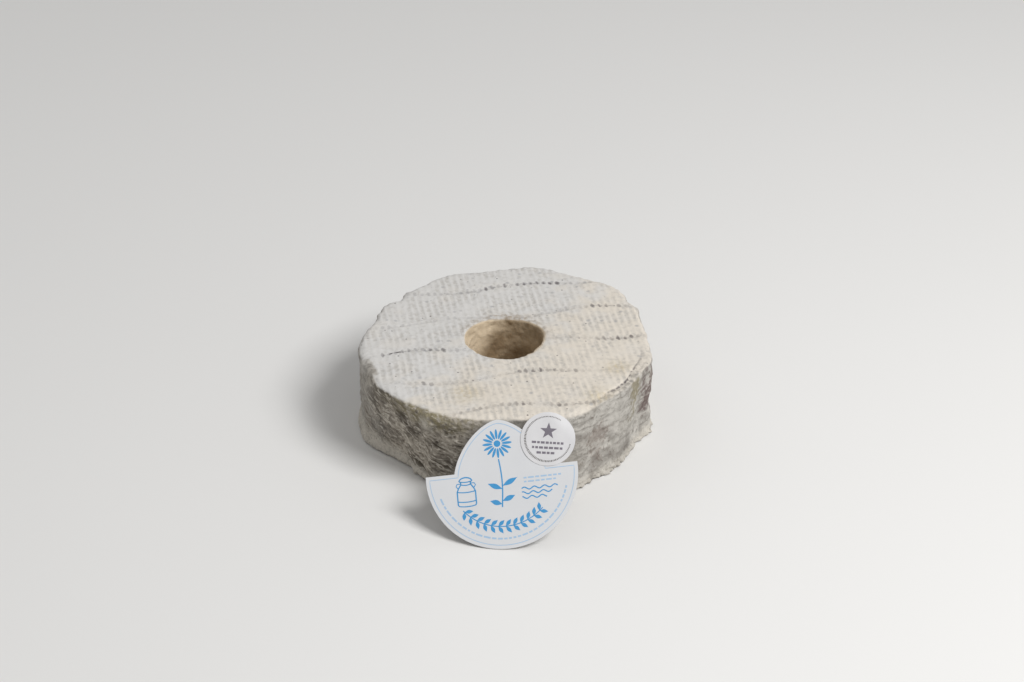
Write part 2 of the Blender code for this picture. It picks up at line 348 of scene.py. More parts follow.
def add_object(name, data):
    """Adds an object to the scene."""
    item = bpy.data.objects.new(name, data)
    bpy.context.scene.collection.objects.link(item)
    return item


def add_piece(name, mesh):
    """Adds a piece of the object, which rides on its only body."""
    piece = add_object(name, mesh)
    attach(piece, "root")
    return piece


def shaped(piece):
    """The piece's mesh with its modifiers applied."""
    bpy.context.view_layer.update()
    return bpy.data.meshes.new_from_object(piece.evaluated_get(bpy.context.evaluated_depsgraph_get()))


def evenly_divided(node, spacing):
    """A CAD node's shape as a fine even mesh, its edges a little softened."""
    rough = add_object("rough", frame["nodes"][node].data.copy())
    even = rough.modifiers.new("Even", "REMESH")
    even.mode = "VOXEL"
    even.voxel_size = spacing
    soften = rough.modifiers.new("Soften", "SMOOTH")
    soften.iterations = 3
    mesh = shaped(rough)
    bpy.data.objects.remove(rough)
    mesh.materials.clear()
    return mesh


def coarser(mesh, chosen, share):
    """The mesh with fewer faces at the chosen points, down to a share of all its faces."""
    fine = add_object("fine", mesh)
    fine.vertex_groups.new(name="chosen").add(np.flatnonzero(chosen).tolist(), 1.0, "REPLACE")
    fewer = fine.modifiers.new("Fewer", "DECIMATE")
    fewer.ratio = share
    fewer.vertex_group = "chosen"
    thinned = shaped(fine)
    bpy.data.objects.remove(fine)
    return thinned


class Ring:
    """Where each point of the rind lies on the ring, and how much it belongs to each part of it."""

    def __init__(self, mesh):
        self.places = read_vectors(mesh.vertices, "co")
        self.normals = read_vectors(mesh.vertex_normals, "vector")
        self.x = x = self.places[:, 0] - RING_AXIS.x
        self.y = y = self.places[:, 1] - RING_AXIS.y
        self.height = self.places[:, 2]
        self.angle = np.degrees(np.arctan2(y, x))
        self.radius = np.hypot(x, y)
        hole_x = self.places[:, 0] - HOLE_MIDDLE.x
        hole_y = self.places[:, 1] - HOLE_MIDDLE.y
        self.hole_distance = np.hypot(hole_x, hole_y)
        self.hole_angle = np.degrees(np.arctan2(hole_y, hole_x))
        upwards = self.normals[:, 2]
        self.top = step(0.45, 0.85, upwards)
        self.rim = bell(self.height - RING_HEIGHT, 3.5 * MM) * (1.0 - step(0.9, 1.0, upwards))
        self.base = step(0.5, 0.8, -upwards)
        wall = (1.0 - self.top) * (1.0 - self.base)
        self.hole = wall * (1.0 - step(17 * MM, 21 * MM, self.hole_distance))
        self.side = wall - self.hole
        turn = np.radians(self.angle)
        self.outwards = np.stack([np.cos(turn), np.sin(turn), 0 * turn], axis=1)
        self.onwards = np.stack([-np.sin(turn), np.cos(turn), 0 * turn], axis=1)
        self.along = x * math.cos(MAT_TURN) + y * math.sin(MAT_TURN)
        self.across = y * math.cos(MAT_TURN) - x * math.sin(MAT_TURN)

    def uneven(self, size, seed):
        """Smooth noise at each point, from about -1 to 1, with bumps of this size in mm."""
        return uneven(self.places, size * MM, seed)

    def lumps(self, layers):
        """Unevenness in metres, from layers with a height and a size in mm and a seed."""
        return sum(height * MM * self.uneven(size, seed) for height, size, seed in layers)

    def facing(self, direction, half_width):
        """1 in this direction from the ring's axis, and close to 0 from twice the half width on."""
        return bell(turn_between(self.angle, direction), half_width)

    def hole_facing(self, direction, half_width):
        """The same for directions from the middle of the hole."""
        return bell(turn_between(self.hole_angle, direction), half_width)

    def slanting(self, degrees):
        """The way along the side that rises to the right by this many degrees, at each point."""
        turn = math.radians(degrees)
        return self.onwards * math.cos(turn) + np.array([0.0, 0.0, math.sin(turn)])

    def drawn_out(self, degrees, stretch):
        """Places slid down to the ground along such a way, so that noise on them makes slanting streaks."""
        turn = np.radians(self.angle) - self.height / math.tan(math.radians(degrees)) / RING_RADIUS
        x, y = self.radius * np.cos(turn), self.radius * np.sin(turn)
        return np.stack([x, y, self.height / stretch], axis=1)

    def rim_radius(self):
        """How far out the rim is in each point's direction."""
        bins = np.arange(-180, 181, 4)
        reach = np.zeros(len(bins))
        high = self.height > 0.85 * RING_HEIGHT
        np.maximum.at(reach, np.round((self.angle[high] + 180) / 4).astype(int), self.radius[high])
        reach[0] = reach[-1] = max(reach[0], reach[-1])
        return np.interp(self.angle, bins, reach)


def mat_lines(ring, rib_pitch):
    """The mat's own coordinates: ribs counted along a seam, and seams counted from the front."""
    ribs = (ring.along + 0.35 * MM * ring.uneven(7, 3.1)) / rib_pitch
    count = len(SEAM_CROSSINGS)
    seams = (ring.across - MIDDLE_SEAM) / SEAM_SPACING + count // 2
    crossing = np.interp(seams, range(count), SEAM_CROSSINGS) * MM
    sway = SEAM_SWAY * np.sin(math.tau * (ring.along - crossing) / SEAM_SWAY_LENGTH)
    return ribs, seams - sway / SEAM_SPACING


def seam_darkness(ring, seams):
    """How dark the stitch marks are along the nearest seam."""
    nearest = np.round(seams)
    dark = np.zeros(len(seams))
    for number, marks in enumerate(SEAM_MARKS):
        for place, half_width, strength in marks:
            dark += (nearest == number) * strength * bell(ring.along - place * MM, half_width * MM)
    return dark


def relief_of_top(mesh, ring, settings):
    """Marks of the mat's sticks and stitches, the crack along the rim, and the uneven curd between."""
    ribs, seams = mat_lines(ring, settings.rib_pitch)
    seam_away = np.abs(seams - np.round(seams)) * SEAM_SPACING
    rib_away = np.abs(ribs - np.round(ribs)) * settings.rib_pitch
    dark = seam_darkness(ring, seams)
    pairs = zip(np.round(ribs).tolist(), np.round(seams).tolist())
    stitch = np.array([chance(rib, seam, 0) for rib, seam in pairs])
    stitch_away = np.hypot(seam_away / STITCH_STRETCH, rib_away)
    presence = 0.3 + 0.7 * step(-0.35, 0.4, ring.uneven(9, 5.3))
    drift = RIM_CRACK_DRIFT * np.clip(ring.angle - RIM_CRACK[0], 0, RIM_CRACK_DRIFT_DEGREES)
    crack = ring.radius - ring.rim_radius() + RIM_CRACK_INSET + drift
    crack += 0.5 * MM * ring.uneven(5, 0.4)
    cracked = ring.facing(*RIM_CRACK)
    store(mesh, "crack", np.stack([crack, cracked, 0 * crack], axis=1))
    store(mesh, "mat", np.stack([ribs, seams, presence], axis=1))
    store(mesh, "seam_dark", dark)
    relief = -settings.rib_depth * presence * np.abs(np.sin(np.pi * ribs))
    relief += 0.25 * MM * bell(seam_away, 0.9 * MM)
    relief -= settings.stitch_depth * bell(stitch_away, 0.6 * MM) * stitch * np.clip(dark + 0.25, 0, 1)
    open_parts = step(-0.4, 0.3, ring.uneven(1.2, 3.7))
    relief -= 0.5 * MM * cracked * bell(crack, 0.5 * MM) * open_parts
    return relief + ring.lumps(TOP_LUMPS)


def knob_of_mould(ring):
    """1 on the small knob under the rim at the front left."""
    return ring.facing(*KNOB) * bell(ring.height - KNOB_HEIGHT, 3 * MM)


def relief_of_side(mesh, ring, settings):
    """Strands of grey mould at the left, wrinkles at the right, lumps all round and the knob."""
    grey = np.zeros(len(ring.angle))
    for direction, half_width, share in GREY_MOULD_AND_SHADE:
        grey = np.maximum(grey, share * ring.facing(direction, half_width))
    rough_height = ring.height + 1.5 * MM * ring.uneven(3, 0.2)
    pale_rim = 1.4 * step(24 * MM, 28 * MM, rough_height) * ring.facing(*PALE_RIM)
    grey = np.clip(grey + 0.25 * ring.uneven(9, 4.1) - pale_rim, 0, 1)
    strands = streaks(ring.places, ring.slanting(STRAND_SLANT), 6 * MM, 1.7 * MM, 0.9)
    strands = 1.0 - np.abs(strands) * 1.6
    wrinkles = streaks(ring.places, ring.slanting(0), 6 * MM, 1.5 * MM, 2.3)
    store(mesh, "grey", grey)
    store(mesh, "strand_place", ring.drawn_out(STRAND_SLANT, 1.8))
    store(mesh, "wrinkle_place", ring.places * (0.33, 0.33, 1.0))
    store(mesh, "strand", np.clip(strands, 0, 1))
    store(mesh, "wrinkle", wrinkles)
    relief = settings.fibre_height * grey * (np.clip(strands, -0.2, 1) - 0.4)
    relief += settings.wrinkle_height * (1.0 - grey) * wrinkles
    relief += 0.6 * MM * knob_of_mould(ring)
    return relief + ring.lumps(SIDE_LUMPS)


def relief_of_hole(ring):
    """The rough wall that the mould's peg left, with a swelling at the right."""
    return 1.1 * MM * ring.hole_facing(*HOLE_SWELLING) + ring.lumps(HOLE_LUMPS)


def relief_of_rim(ring):
    """Crumbs that broke off along the rims of the ring and the hole."""
    crumbs = ring.uneven(2.4, 4.4) + 0.5 * ring.uneven(1.2, 6.6)
    return 0.3 * MM * np.minimum(crumbs, 0.25)


def foot_burrs(ring, settings):
    """Ragged curd that stands out along the foot, mostly at the front right."""
    ragged = 0.3 + 0.7 * ring.facing(*BURRS)
    foot = bell(ring.height, 2.6 * MM) * step(0.8 * RING_RADIUS, 0.92 * RING_RADIUS, ring.radius)
    burrs = 0.7 * ring.uneven(2.2, 9.1) + 1.2 * ring.uneven(1.2, 2.2)
    return settings.burr_height * ragged * foot * burrs


def store_tints(mesh, ring):
    """Where the top, the foot and the hole lie, the stains and moulds on them, and the painted shade on the
    hole's wall.
    """
    x, y, height = ring.x, ring.y, ring.height
    worn = 0.0
    for share, inner, outer, direction, half_width in WORN_EDGES:
        edge = step(inner * MM, outer * MM, ring.radius - ring.rim_radius())
        worn = worn + share * edge * ring.facing(direction, half_width)
    ragged = 0.12 * ring.uneven(2, 7.1)
    crust = height + 1.2 * MM * ring.uneven(4, 5.5)
    broad = 1.0 + 0.9 * ring.facing(*BROAD_FOOT)
    thin = 1.0 - 0.5 * ring.facing(*THIN_FOOT)
    halfway = step(5 * MM, 13 * MM, height) * (1.0 - 0.5 * step(21 * MM, 27 * MM, height))
    # Painted shade on the hole's wall: none at the left, full from the middle on, half as much at the far
    # right
    damp = step(-9 * MM, 0 * MM, x - 0.4 * (height - 22 * MM))
    tints = {
        "warm": step(-30 * MM, 40 * MM, x - 0.8 * y),
        "stain": sum(bell(np.hypot(x - px * MM, y - py * MM), size * MM) for px, py, size in STAINS),
        "top": step(0.3, 0.62, ring.normals[:, 2] + ragged - worn),
        "hole": ring.hole,
        "foot": step(5.0 * MM, 1.5 * MM, crust / broad) * thin * (1.0 - ring.base),
        "olive": step(22 * MM, 28 * MM, height) * ring.facing(*OLIVE_MOULD),
        "column": ring.facing(*OLIVE_COLUMN) * step(8 * MM, 16 * MM, height),
        "purple": ring.facing(*PURPLE_MOULD) * halfway,
        "bruise": ring.facing(*BRUISE) * bell(height - BRUISE_HEIGHT, 9 * MM),
        "smudge": ring.hole_facing(*HOLE_SMUDGE) * bell(ring.hole_distance - 14.5 * MM, 2.6 * MM),
        "knob": knob_of_mould(ring),
        "damp": damp - 0.5 * step(4 * MM, 13 * MM, x),
    }
    for name, values in tints.items():
        store(mesh, name, values)


def rind_material(settings):
    """Bloomy goat cheese rind: salted curd pressed on a stick mat, dried, and overgrown with mould.

    The eye sees a dry, chalky, wholly matt skin, with soft-edged colour changes, dark pin
    pricks where the mat's stitches were, and felt-like strands where the mould is thick.
    Single hairs of mould are too fine to show, so they are drawn as strands about 2 mm apart.
    """
    material, node, surface, place = new_material(
        "bloomy_goat_cheese_rind", Roughness=0.9, Specular_IOR_Level=0.25
    )
    names = ("seam_dark", "grey", "strand", "wrinkle", "warm", "stain", "top", "hole")
    names += ("foot", "olive", "column", "purple", "bruise", "smudge", "knob", "damp")
    at = {name: node("Attribute", attribute_name=name).outputs["Fac"] for name in names}
    for name in ("mat", "crack", "strand_place", "wrinkle_place"):
        at[name] = node("Attribute", attribute_name=name).outputs["Vector"]
    blotch, mottle, grain = (
        node("TexNoise", {"Vector": place, "Scale": 1 / (size * MM), "Detail": detail}).outputs["Fac"]
        for size, detail in ((8.0, 4.0), (1.6, 3.0), (0.5, 2.0))
    )

    # Valleys of the mat's sticks, which get painted shade, and lines and stitch marks along its seams
    ribs, seams, presence = node("SeparateXYZ", (at["mat"],)).outputs
    wave = node("Math", (node("Math", (ribs, math.pi)),), operation="SINE")
    valley = node("MapRange", (node("Math", (wave,), operation="ABSOLUTE"), 0.2, 1.0))
    seam_away = node("Math", (node("Math", (seams, 0.5), operation="PINGPONG"), SEAM_SPACING))
    rib_away = node("Math", (node("Math", (ribs, 0.5), operation="PINGPONG"), settings.rib_pitch))
    seam_part = node("Math", (seam_away, STITCH_STRETCH), operation="DIVIDE")
    stitch_away = node("VectorMath", (node("CombineXYZ", (seam_part, rib_away)),), operation="LENGTH")
    stitch_away = node("Math", (mottle, 1.6 * MM, stitch_away.outputs["Value"]), operation="MULTIPLY_ADD")
    stitch = node("CombineXYZ", [node("Math", (count,), operation="ROUND") for count in (ribs, seams)])
    luck = node("TexWhiteNoise", (stitch,), noise_dimensions="2D").outputs["Value"]
    dot = node("MapRange", (stitch_away, 1.75 * MM, 1.05 * MM))
    line = node("MapRange", (seam_away, 0.6 * MM, 0.1 * MM))

    # The crack along the rim; the skin outside it, darkened partly as painted shade and partly by its
    # specks; and painted shade in the gaps between the side's crumbs
    crack_away, cracked, _ = node("SeparateXYZ", (at["crack"],)).outputs
    rim_shade_and_specks = node("Math", (node("MapRange", (crack_away, -0.2 * MM, 0.8 * MM)), cracked))
    crack = node("Math", (crack_away,), operation="ABSOLUTE")
    crack = node("Math", (node("MapRange", (crack, 0.5 * MM, 0.1 * MM)), cracked))
    crumbs = node("TexVoronoi", {"Vector": place, "Scale": 1 / (1.2 * MM)}, feature="DISTANCE_TO_EDGE")
    gap_shade = node("MapRange", (crumbs.outputs["Distance"], 0.12, 0.02, 0.0, 1.0))

    # Each of these is broken up by a noise, or by luck: over (low, high) a (least, most) part stays
    share = {}
    for name, whole, source, limits in (
        ("stain", at["stain"], mottle, (0.3, 0.7, 0.15, 0.7)),
        ("stick", presence, mottle, (0.35, 0.65, 0.2, 0.65)),
        ("smudge", at["smudge"], mottle, (0.35, 0.65, 0.1, 0.65)),
        ("dot", dot, luck, (0.0, 0.8, 0.25, 0.85)),
        ("line", line, mottle, (0.4, 0.65, 0.0, 0.4)),
        ("rim_shade_and_specks", rim_shade_and_specks, mottle, (0.35, 0.6, 0.25, 0.7)),
        ("crack", crack, mottle, (0.4, 0.56, 0.2, 0.9)),
        ("strand", at["strand"], blotch, (0.35, 0.6, 0.35, 0.9)),
        ("olive", at["olive"], mottle, (0.35, 0.6, 0.0, 1.0)),
        ("foot", at["foot"], mottle, (0.3, 0.5, 0.5, 1.0)),
        ("gap_shade", gap_shade, mottle, (0.45, 0.65, 0.0, 0.45)),
    ):
        share[name] = node("Math", (whole, node("MapRange", (source, *limits))))

    # Dark specks about 2.6 mm apart and soft spots about 3.4 mm apart, of uneven strength
    for name, pitch, channel, size, limits in (
        ("speck", 2.6, "Red", (0.17, 0.07), (0.45, 0.95, 0.0, 0.8)),
        ("spot", 3.4, "Green", (0.3, 0.1), (0.4, 0.9, 0.0, 0.55)),
    ):
        cells = node("TexVoronoi", {"Vector": place, "Scale": 1 / (pitch * MM)})
        pick = node("SeparateColor", (cells.outputs["Color"],)).outputs[channel]
        near = node("MapRange", (cells.outputs["Distance"], *size))
        share[name] = node("Math", (near, node("MapRange", (pick, *limits))))

    # The top: cool at the back and left, warm at the front and right
    warmth = node("Math", (at["warm"], node("MapRange", (blotch, 0.3, 0.7, -0.3, 0.3))), operation="ADD")
    warmth = node("MapRange", (warmth, 0.0, 1.0))
    top = node("Mix", (warmth, settings.top_cool, settings.top_warm))
    slit = node("MapRange", (at["seam_dark"], 1.2, 1.5, 1.0, 9.0))
    line = node("Math", (share["line"], slit), use_clamp=True)
    strength = node("MapRange", (at["seam_dark"], 0.0, 1.0, 0.2, 0.95))
    marks = node("Math", (node("Math", (share["dot"], line), operation="MAXIMUM"), strength))
    marks = node("Math", (marks, share["crack"]), operation="MAXIMUM")
    # Laid over the top in turn: stains, painted shade in the mat's valleys, darker mottling, the smudge,
    # the rim band outside the crack (painted shade with its specks), spots, and marks
    for part, tone in (
        (share["stain"], settings.stain),
        (node("Math", (valley, share["stick"])), settings.valley),
        (node("MapRange", (mottle, 0.52, 0.75, 0.0, 0.4)), settings.valley),
        (share["smudge"], settings.hole_shade_and_smudge),
        (share["rim_shade_and_specks"], settings.patches_and_shade),
        (share["spot"], settings.spot),
        (node("Math", (marks, share["speck"]), operation="MAXIMUM"), settings.speck),
    ):
        top = node("Mix", (part, top, tone))

    # The pale, wrinkled side with its brownish patches, painted shade in its creases, and three stains of
    # mould
    height = node("SeparateXYZ", (place,)).outputs["Z"]
    low = node("MapRange", (height, 24 * MM, 12 * MM, 0.0, 0.1))
    pale = node("MapRange", (node("Math", (blotch, low), operation="ADD"), 0.48, 0.72, 0.0, 0.75))
    pale = node("Mix", (pale, settings.pale_side, settings.patches_and_shade))
    folds = {"Vector": at["wrinkle_place"], "Scale": 1 / (1.6 * MM), "Detail": 3.0}
    fine = node("MapRange", (node("TexNoise", folds).outputs["Fac"], 0.5, 0.32, 0.0, 0.6))
    crease_shade = node("MapRange", (at["wrinkle"], 0.1, -0.8, 0.0, 0.5))
    crease_shade = node("Math", (crease_shade, fine), operation="MAXIMUM")
    pale = node("Mix", (crease_shade, pale, settings.patches_and_shade))
    fray = node("Math", (mottle, blotch), operation="ADD")
    for name, most, tone in (
        ("column", 0.7, settings.olive),
        ("bruise", 0.5, settings.bruise),
        ("purple", 0.9, settings.purple),
    ):
        frayed = node("Math", (fray, 1.8, at[name]), operation="MULTIPLY_ADD")
        frayed = node("MapRange", (frayed, 2.2, 2.8, 0.0, most))
        pale = node("Mix", (frayed, pale, tone))

    # The side where grey mould grew, darkened partly as painted shade, with bent strands, and olive under
    # the rim
    thick = node("MapRange", (blotch, 0.42, 0.62))
    grey = node("Mix", (thick, settings.mould_dark, settings.mould))
    bend = node("TexNoise", {"Vector": place, "Scale": 1 / (4 * MM), "Detail": 1.0}).outputs["Color"]
    bent = node("VectorMath", (bend, [9 * MM] * 3, at["strand_place"]), operation="MULTIPLY_ADD")
    hairs = node("TexNoise", {"Vector": bent, "Scale": 1 / (2.2 * MM), "Detail": 2.0}).outputs["Fac"]
    for part, tone in (
        (share["strand"], settings.mould_light),
        (node("MapRange", (hairs, 0.48, 0.36, 0.0, 0.6)), settings.mould_dark),
        (node("MapRange", (hairs, 0.54, 0.66, 0.0, 0.8)), settings.fibre),
        (share["olive"], settings.olive),
        (node("Math", (at["knob"], 0.8)), settings.foot),
    ):
        grey = node("Mix", (part, grey, tone))

    # The whole side, with its pale foot, its specks, and painted shade in its gaps
    side = node("Mix", (at["grey"], pale, grey))
    specks = node("Math", (share["speck"], 0.8))
    for part, tone in ((share["foot"], "foot"), (specks, "mould_dark"), (share["gap_shade"], "mould_dark")):
        side = node("Mix", (part, side, getattr(settings, tone)))

    # The hole's wall with its painted shade, the whole skin, and its chalky grain, coarser on the side
    damp = node("Math", (at["damp"], node("MapRange", (blotch, 0.35, 0.65, -0.3, 0.3))), operation="ADD")
    hole = node("Mix", (damp, settings.hole, settings.hole_shade_and_smudge))
    skin = node("Mix", (at["top"], side, top))
    skin = node("Mix", (at["hole"], skin, hole))
    roughness = node("MapRange", (at["top"], 0.0, 1.0, 3.5, 1.5), interpolation_type="LINEAR")
    chalk = node("Math", (mottle, roughness, grain), operation="MULTIPLY_ADD")
    bump = node("Bump", {"Height": chalk, "Distance": 0.12 * MM, "Strength": 0.7})
    return coloured(material, surface, skin, bump)


class CHEESE_OT_rind(bpy.types.Operator):
    """Grows the rind over the cheese: mat marks, seams, specks, mould strands, wrinkles and burrs"""

    bl_idname = "cheese.rind"
    bl_label = "Ripened rind"

    def execute(self, context):
        settings = context.scene.cheese_rind
        mesh = evenly_divided("cheese_ring", settings.spacing)
        mesh = coarser(mesh, Ring(mesh).base > 0.99, BASE_THINNING)
        ring = Ring(mesh)
        relief = ring.top * relief_of_top(mesh, ring, settings)
        relief += ring.side * relief_of_side(mesh, ring, settings)
        relief += ring.hole * relief_of_hole(ring)
        relief += ring.rim * relief_of_rim(ring)
        store_tints(mesh, ring)
        places = ring.places + ring.normals * relief[:, None]
        places += ring.outwards * foot_burrs(ring, settings)[:, None]
        places[:, 2] = np.maximum(places[:, 2], 0.0)
        mesh.vertices.foreach_set("co", places.astype(np.float32).ravel())
        mesh.shade_smooth()
        mesh.materials.append(rind_material(settings))
        rind = add_piece("cheese_rind", mesh)
        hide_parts("cheese_ring")
        return {"FINISHED"}


def card_plane(node, roll):
    """The turn from a leaning piece's own coordinates to places, and its box's low and high corners."""
    turn = (Euler((CARD_LEAN, 0.0, CARD_TURN)).to_matrix() @ Matrix.Rotation(roll, 3, "Z")).to_4x4()
    corners = [turn.inverted() @ vertex.co for vertex in frame["nodes"][node].data.vertices]
    low = Vector([min(corner[axis] for corner in corners) for axis in range(3)])
    high = Vector([max(corner[axis] for corner in corners) for axis in range(3)])
    return turn, low, high


def arc(radius, start, end, steps):
    """Points along an arc in a plane, from one angle in degrees to another."""
    turns = [math.radians(start + (end - start) * i / steps) for i in range(steps + 1)]
    return [(radius * math.cos(t), radius * math.sin(t)) for t in turns]


class Pen:
    """Draws thin closed solids into one mesh, on a surface whose height is known at each place."""

    def __init__(self, surface, thickness):
        self.shape = bmesh.new()
        self.surface = surface
        self.thickness = thickness

    def corners(self, points):
        """New corners on the surface, and new corners above them, at the top of what is drawn."""
        new = self.shape.verts.new
        lifts = (0.0, self.thickness)
        return [[new((x, y, self.surface(x, y) + lift)) for x, y in points] for lift in lifts]

    def fill(self, outline):
        """Adds a filled outline."""
        low, high = self.corners(outline)
        self.shape.faces.new(high)
        self.shape.faces.new(low[::-1])
        for i, corner in enumerate(low):
            j = (i + 1) % len(low)
            self.shape.faces.new((corner, low[j], high[j], high[i]))

    def line(self, points, width, closed=False):
        """Adds a line, which runs back to its start where it is closed."""
        rows = []
        count = len(points)
        for i, (x, y) in enumerate(points):
            before = points[(i - 1) % count] if closed or i > 0 else points[i]
            after = points[(i + 1) % count] if closed or i < count - 1 else points[i]
            way = (Vector(after) - Vector(before)).normalized()
            half = Vector((-way.y, way.x)) * width / 2
            low, high = self.corners([(x + half.x, y + half.y), (x - half.x, y - half.y)])
            rows.append(low + high)
        pairs = list(zip(rows, rows[1:]))
        if closed:
            pairs.append((rows[-1], rows[0]))
        else:
            for a, b, c, d in (rows[0], rows[-1]):
                self.shape.faces.new((a, b, d, c))
        for (a, b, c, d), (e, f, g, h) in pairs:
            for face in ((c, d, h, g), (b, a, e, f), (a, c, g, e), (d, b, f, h)):
                self.shape.faces.new(face)

    def dashes(self, dashes, y, width):
        """Adds a level row of dashes, given as starts and ends in mm."""
        for start, end in dashes:
            self.line([(start * MM, y), (end * MM, y)], width)

    def finish(self, name, plane, material):
        """Makes the piece that was drawn, in its plane."""
        bmesh.ops.recalc_face_normals(self.shape, faces=self.shape.faces)
        mesh = bpy.data.meshes.new(name)
        self.shape.to_mesh(mesh)
        self.shape.free()
        mesh.transform(plane)
        mesh.materials.append(material)
        return add_piece(name, mesh)


def turned(points, centre, degrees):
    """Points turned by this many degrees, and then moved to a centre."""
    cosine, sine = math.cos(math.radians(degrees)), math.sin(math.radians(degrees))
    return [(centre[0] + x * cosine - y * sine, centre[1] + x * sine + y * cosine) for x, y in points]


def ellipse(centre, long, wide, degrees, steps=20):
    """An ellipse's outline, its long axis turned by this many degrees."""
    turns = [math.tau * i / steps for i in range(steps)]
    return turned([(long * math.cos(t), wide * math.sin(t)) for t in turns], centre, degrees)


def leaf(base, long, wide, degrees, steps=10):
    """A pointed leaf's outline, from its base, growing out at this many degrees."""
    edge = [(long * i / steps, wide * math.sin(math.pi * i / steps) ** 1.3) for i in range(steps + 1)]
    return turned(edge + [(x, -y) for x, y in edge[-2:0:-1]], base, degrees)


def border_points(inset):
    """The card's outline, moved in by the inset: the low arc, the two steps and the arch."""
    radius = CARD_RADIUS - inset
    shelf = STEP_HEIGHT - inset
    start = math.degrees(math.asin(shelf / radius))
    points = arc(radius, start, -180 - start, 72)
    half, high = ARCH_HALF_WIDTH - inset, ARCH_HEIGHT - inset
    side = half if shelf <= 0 else half * (1 - (shelf / high) ** ARCH_ROUNDNESS) ** (1 / ARCH_ROUNDNESS)
    points.append((-side, shelf))
    steps = 40
    for i in range(steps + 1):
        turn = math.pi - math.pi * i / steps
        cosine, sine = math.cos(turn), math.sin(turn)
        x = math.copysign(half * abs(cosine) ** (2 / ARCH_ROUNDNESS), cosine)
        y = high * sine ** (2 / ARCH_ROUNDNESS) if sine > 0 else 0.0
        if y > shelf:
            points.append((x, y))
    points.append((side, shelf))
    return points


def dash_row(start, end, shortest, longest, gap, seed):
    """Starts and ends of the dashes in a row, of uneven lengths."""
    dashes = []
    while start < end - shortest:
        long = shortest + (longest - shortest) * chance(len(dashes), seed, 1)
        dashes.append((start, min(start + long, end)))
        start += long + gap
    return dashes


def draw_border(pen, settings):
    """The thin line that runs round the card a little inside its edge."""
    pen.line(border_points(settings.border_inset), settings.border_width, closed=True)


def draw_dashes(pen, _settings):
    """Rows of small pale dashes: one along the low edge and two short ones at the right."""
    for start, end in dash_row(-163, -17, 2.0, 6.0, 1.4, 0):
        pen.line(arc(21.6 * MM, start, end, 6), 0.55 * MM)
    for row in range(2):
        dashes = dash_row(7.0, 20.0 - 2 * row, 0.8, 2.6, 0.5, row + 1)
        pen.dashes(dashes, (-2.3 - 1.3 * row) * MM, 0.5 * MM)


def draw_daisy(pen, settings):
    """A tall daisy with its stem and leaves, from the arch down to the middle of the card."""
    petals = 16
    middle = Vector((-0.6, 10.0)) * MM
    for i in range(petals):
        turn = math.tau * i / petals
        petal = middle + Vector((math.cos(turn), math.sin(turn))) * 3.2 * MM
        pen.fill(ellipse(petal, 1.65 * MM, 0.42 * MM, math.degrees(turn)))
    pen.fill(ellipse(middle, 1.1 * MM, 1.1 * MM, 0))
    stem = [(middle.x + 0.5 * MM * math.sin(s / 4.5), middle.y - (5.2 + s) * MM) for s in range(17)]
    pen.line(stem, settings.line_width)
    for joint, degrees, long in ((9, 25, 5.6), (10, 155, 5.2), (14, 20, 4.6), (15, 160, 4.2)):
        pen.fill(leaf(stem[joint], long * MM, 0.85 * MM, degrees))


def draw_churn(pen, settings):
    """A milk churn in plain lines, with its lid, hoops and grips, at the left of the card."""
    width = settings.line_width
    middle = Vector((-12.1, -6.0)) * MM
    body = ((-1.6, 4.6), (-1.6, 3.6), (-2.5, 2.3), (-3.0, 1.2), (-3.0, -3.0), (-2.7, -3.5))
    grip = ((-1.7, 3.9), (-2.8, 3.9), (-3.2, 3.2), (-2.7, 2.4))
    for mirror in (1, -1):
        for profile, share in ((body, 1.0), (grip, 0.7)):
            pen.line([(middle.x + mirror * x * MM, middle.y + y * MM) for x, y in profile], width * share)
    for y, half in ((4.6, 2.1), (3.6, 1.6), (1.2, 2.9), (-2.0, 2.9), (-3.5, 2.7)):
        shares = np.linspace(-1, 1, 13)
        hoop = [(middle.x + half * s * MM, middle.y + (y - 0.3 * (1 - s * s)) * MM) for s in shares]
        pen.line(hoop, width * 0.8)
    pen.line([(middle.x + x, middle.y + 4.6 * MM + y * 0.6) for x, y in arc(2.1 * MM, 0, 180, 12)], width)


def draw_garland(pen, settings):
    """A branch with pairs of leaves along the card's lower arc."""
    radius = 17.6 * MM
    pen.line(arc(radius, -141, -46, 60), settings.line_width * 0.8)
    for i in range(12):
        angle = -139 + 8 * i
        turn = math.radians(angle)
        base = (radius * math.cos(turn), radius * math.sin(turn))
        for way in (50, -50):
            pen.fill(leaf(base, 2.9 * MM, 0.62 * MM, angle + 90 + way))


def draw_hills(pen, settings):
    """Rows of rolling hills in wavy lines, at the right of the card."""
    for row in range(3):
        y = (-5.8 - 1.5 * row) * MM
        steps = range(38 - 6 * row)
        wave = [((6.0 + 0.32 * s) * MM, y + 0.4 * MM * math.sin(s * 0.6 + row)) for s in steps]
        pen.line(wave, settings.line_width * 0.9)


def card_material(settings):
    """Clay-coated white board, offset printed and die cut.

    The coating gives a smooth, even, faintly bluish white with a soft satin shine, and the
    board's fibres show only as the slightest unevenness, drawn as coarse as it needs to show.
    """
    material, node, surface, place = new_material("coated_white_board", Roughness=0.42)
    cloud = node("TexNoise", {"Vector": place, "Scale": 1 / (14 * MM), "Detail": 2.0}).outputs["Fac"]
    fibre = node("TexNoise", {"Vector": place, "Scale": 1 / (0.7 * MM), "Detail": 3.0}).outputs["Fac"]
    darker = tuple(0.9 * value for value in settings.card)
    tint = node("Mix", (cloud, settings.card, darker))
    bump = node("Bump", {"Height": fibre, "Distance": 0.02 * MM, "Strength": 0.5})
    return coloured(material, surface, tint, bump)


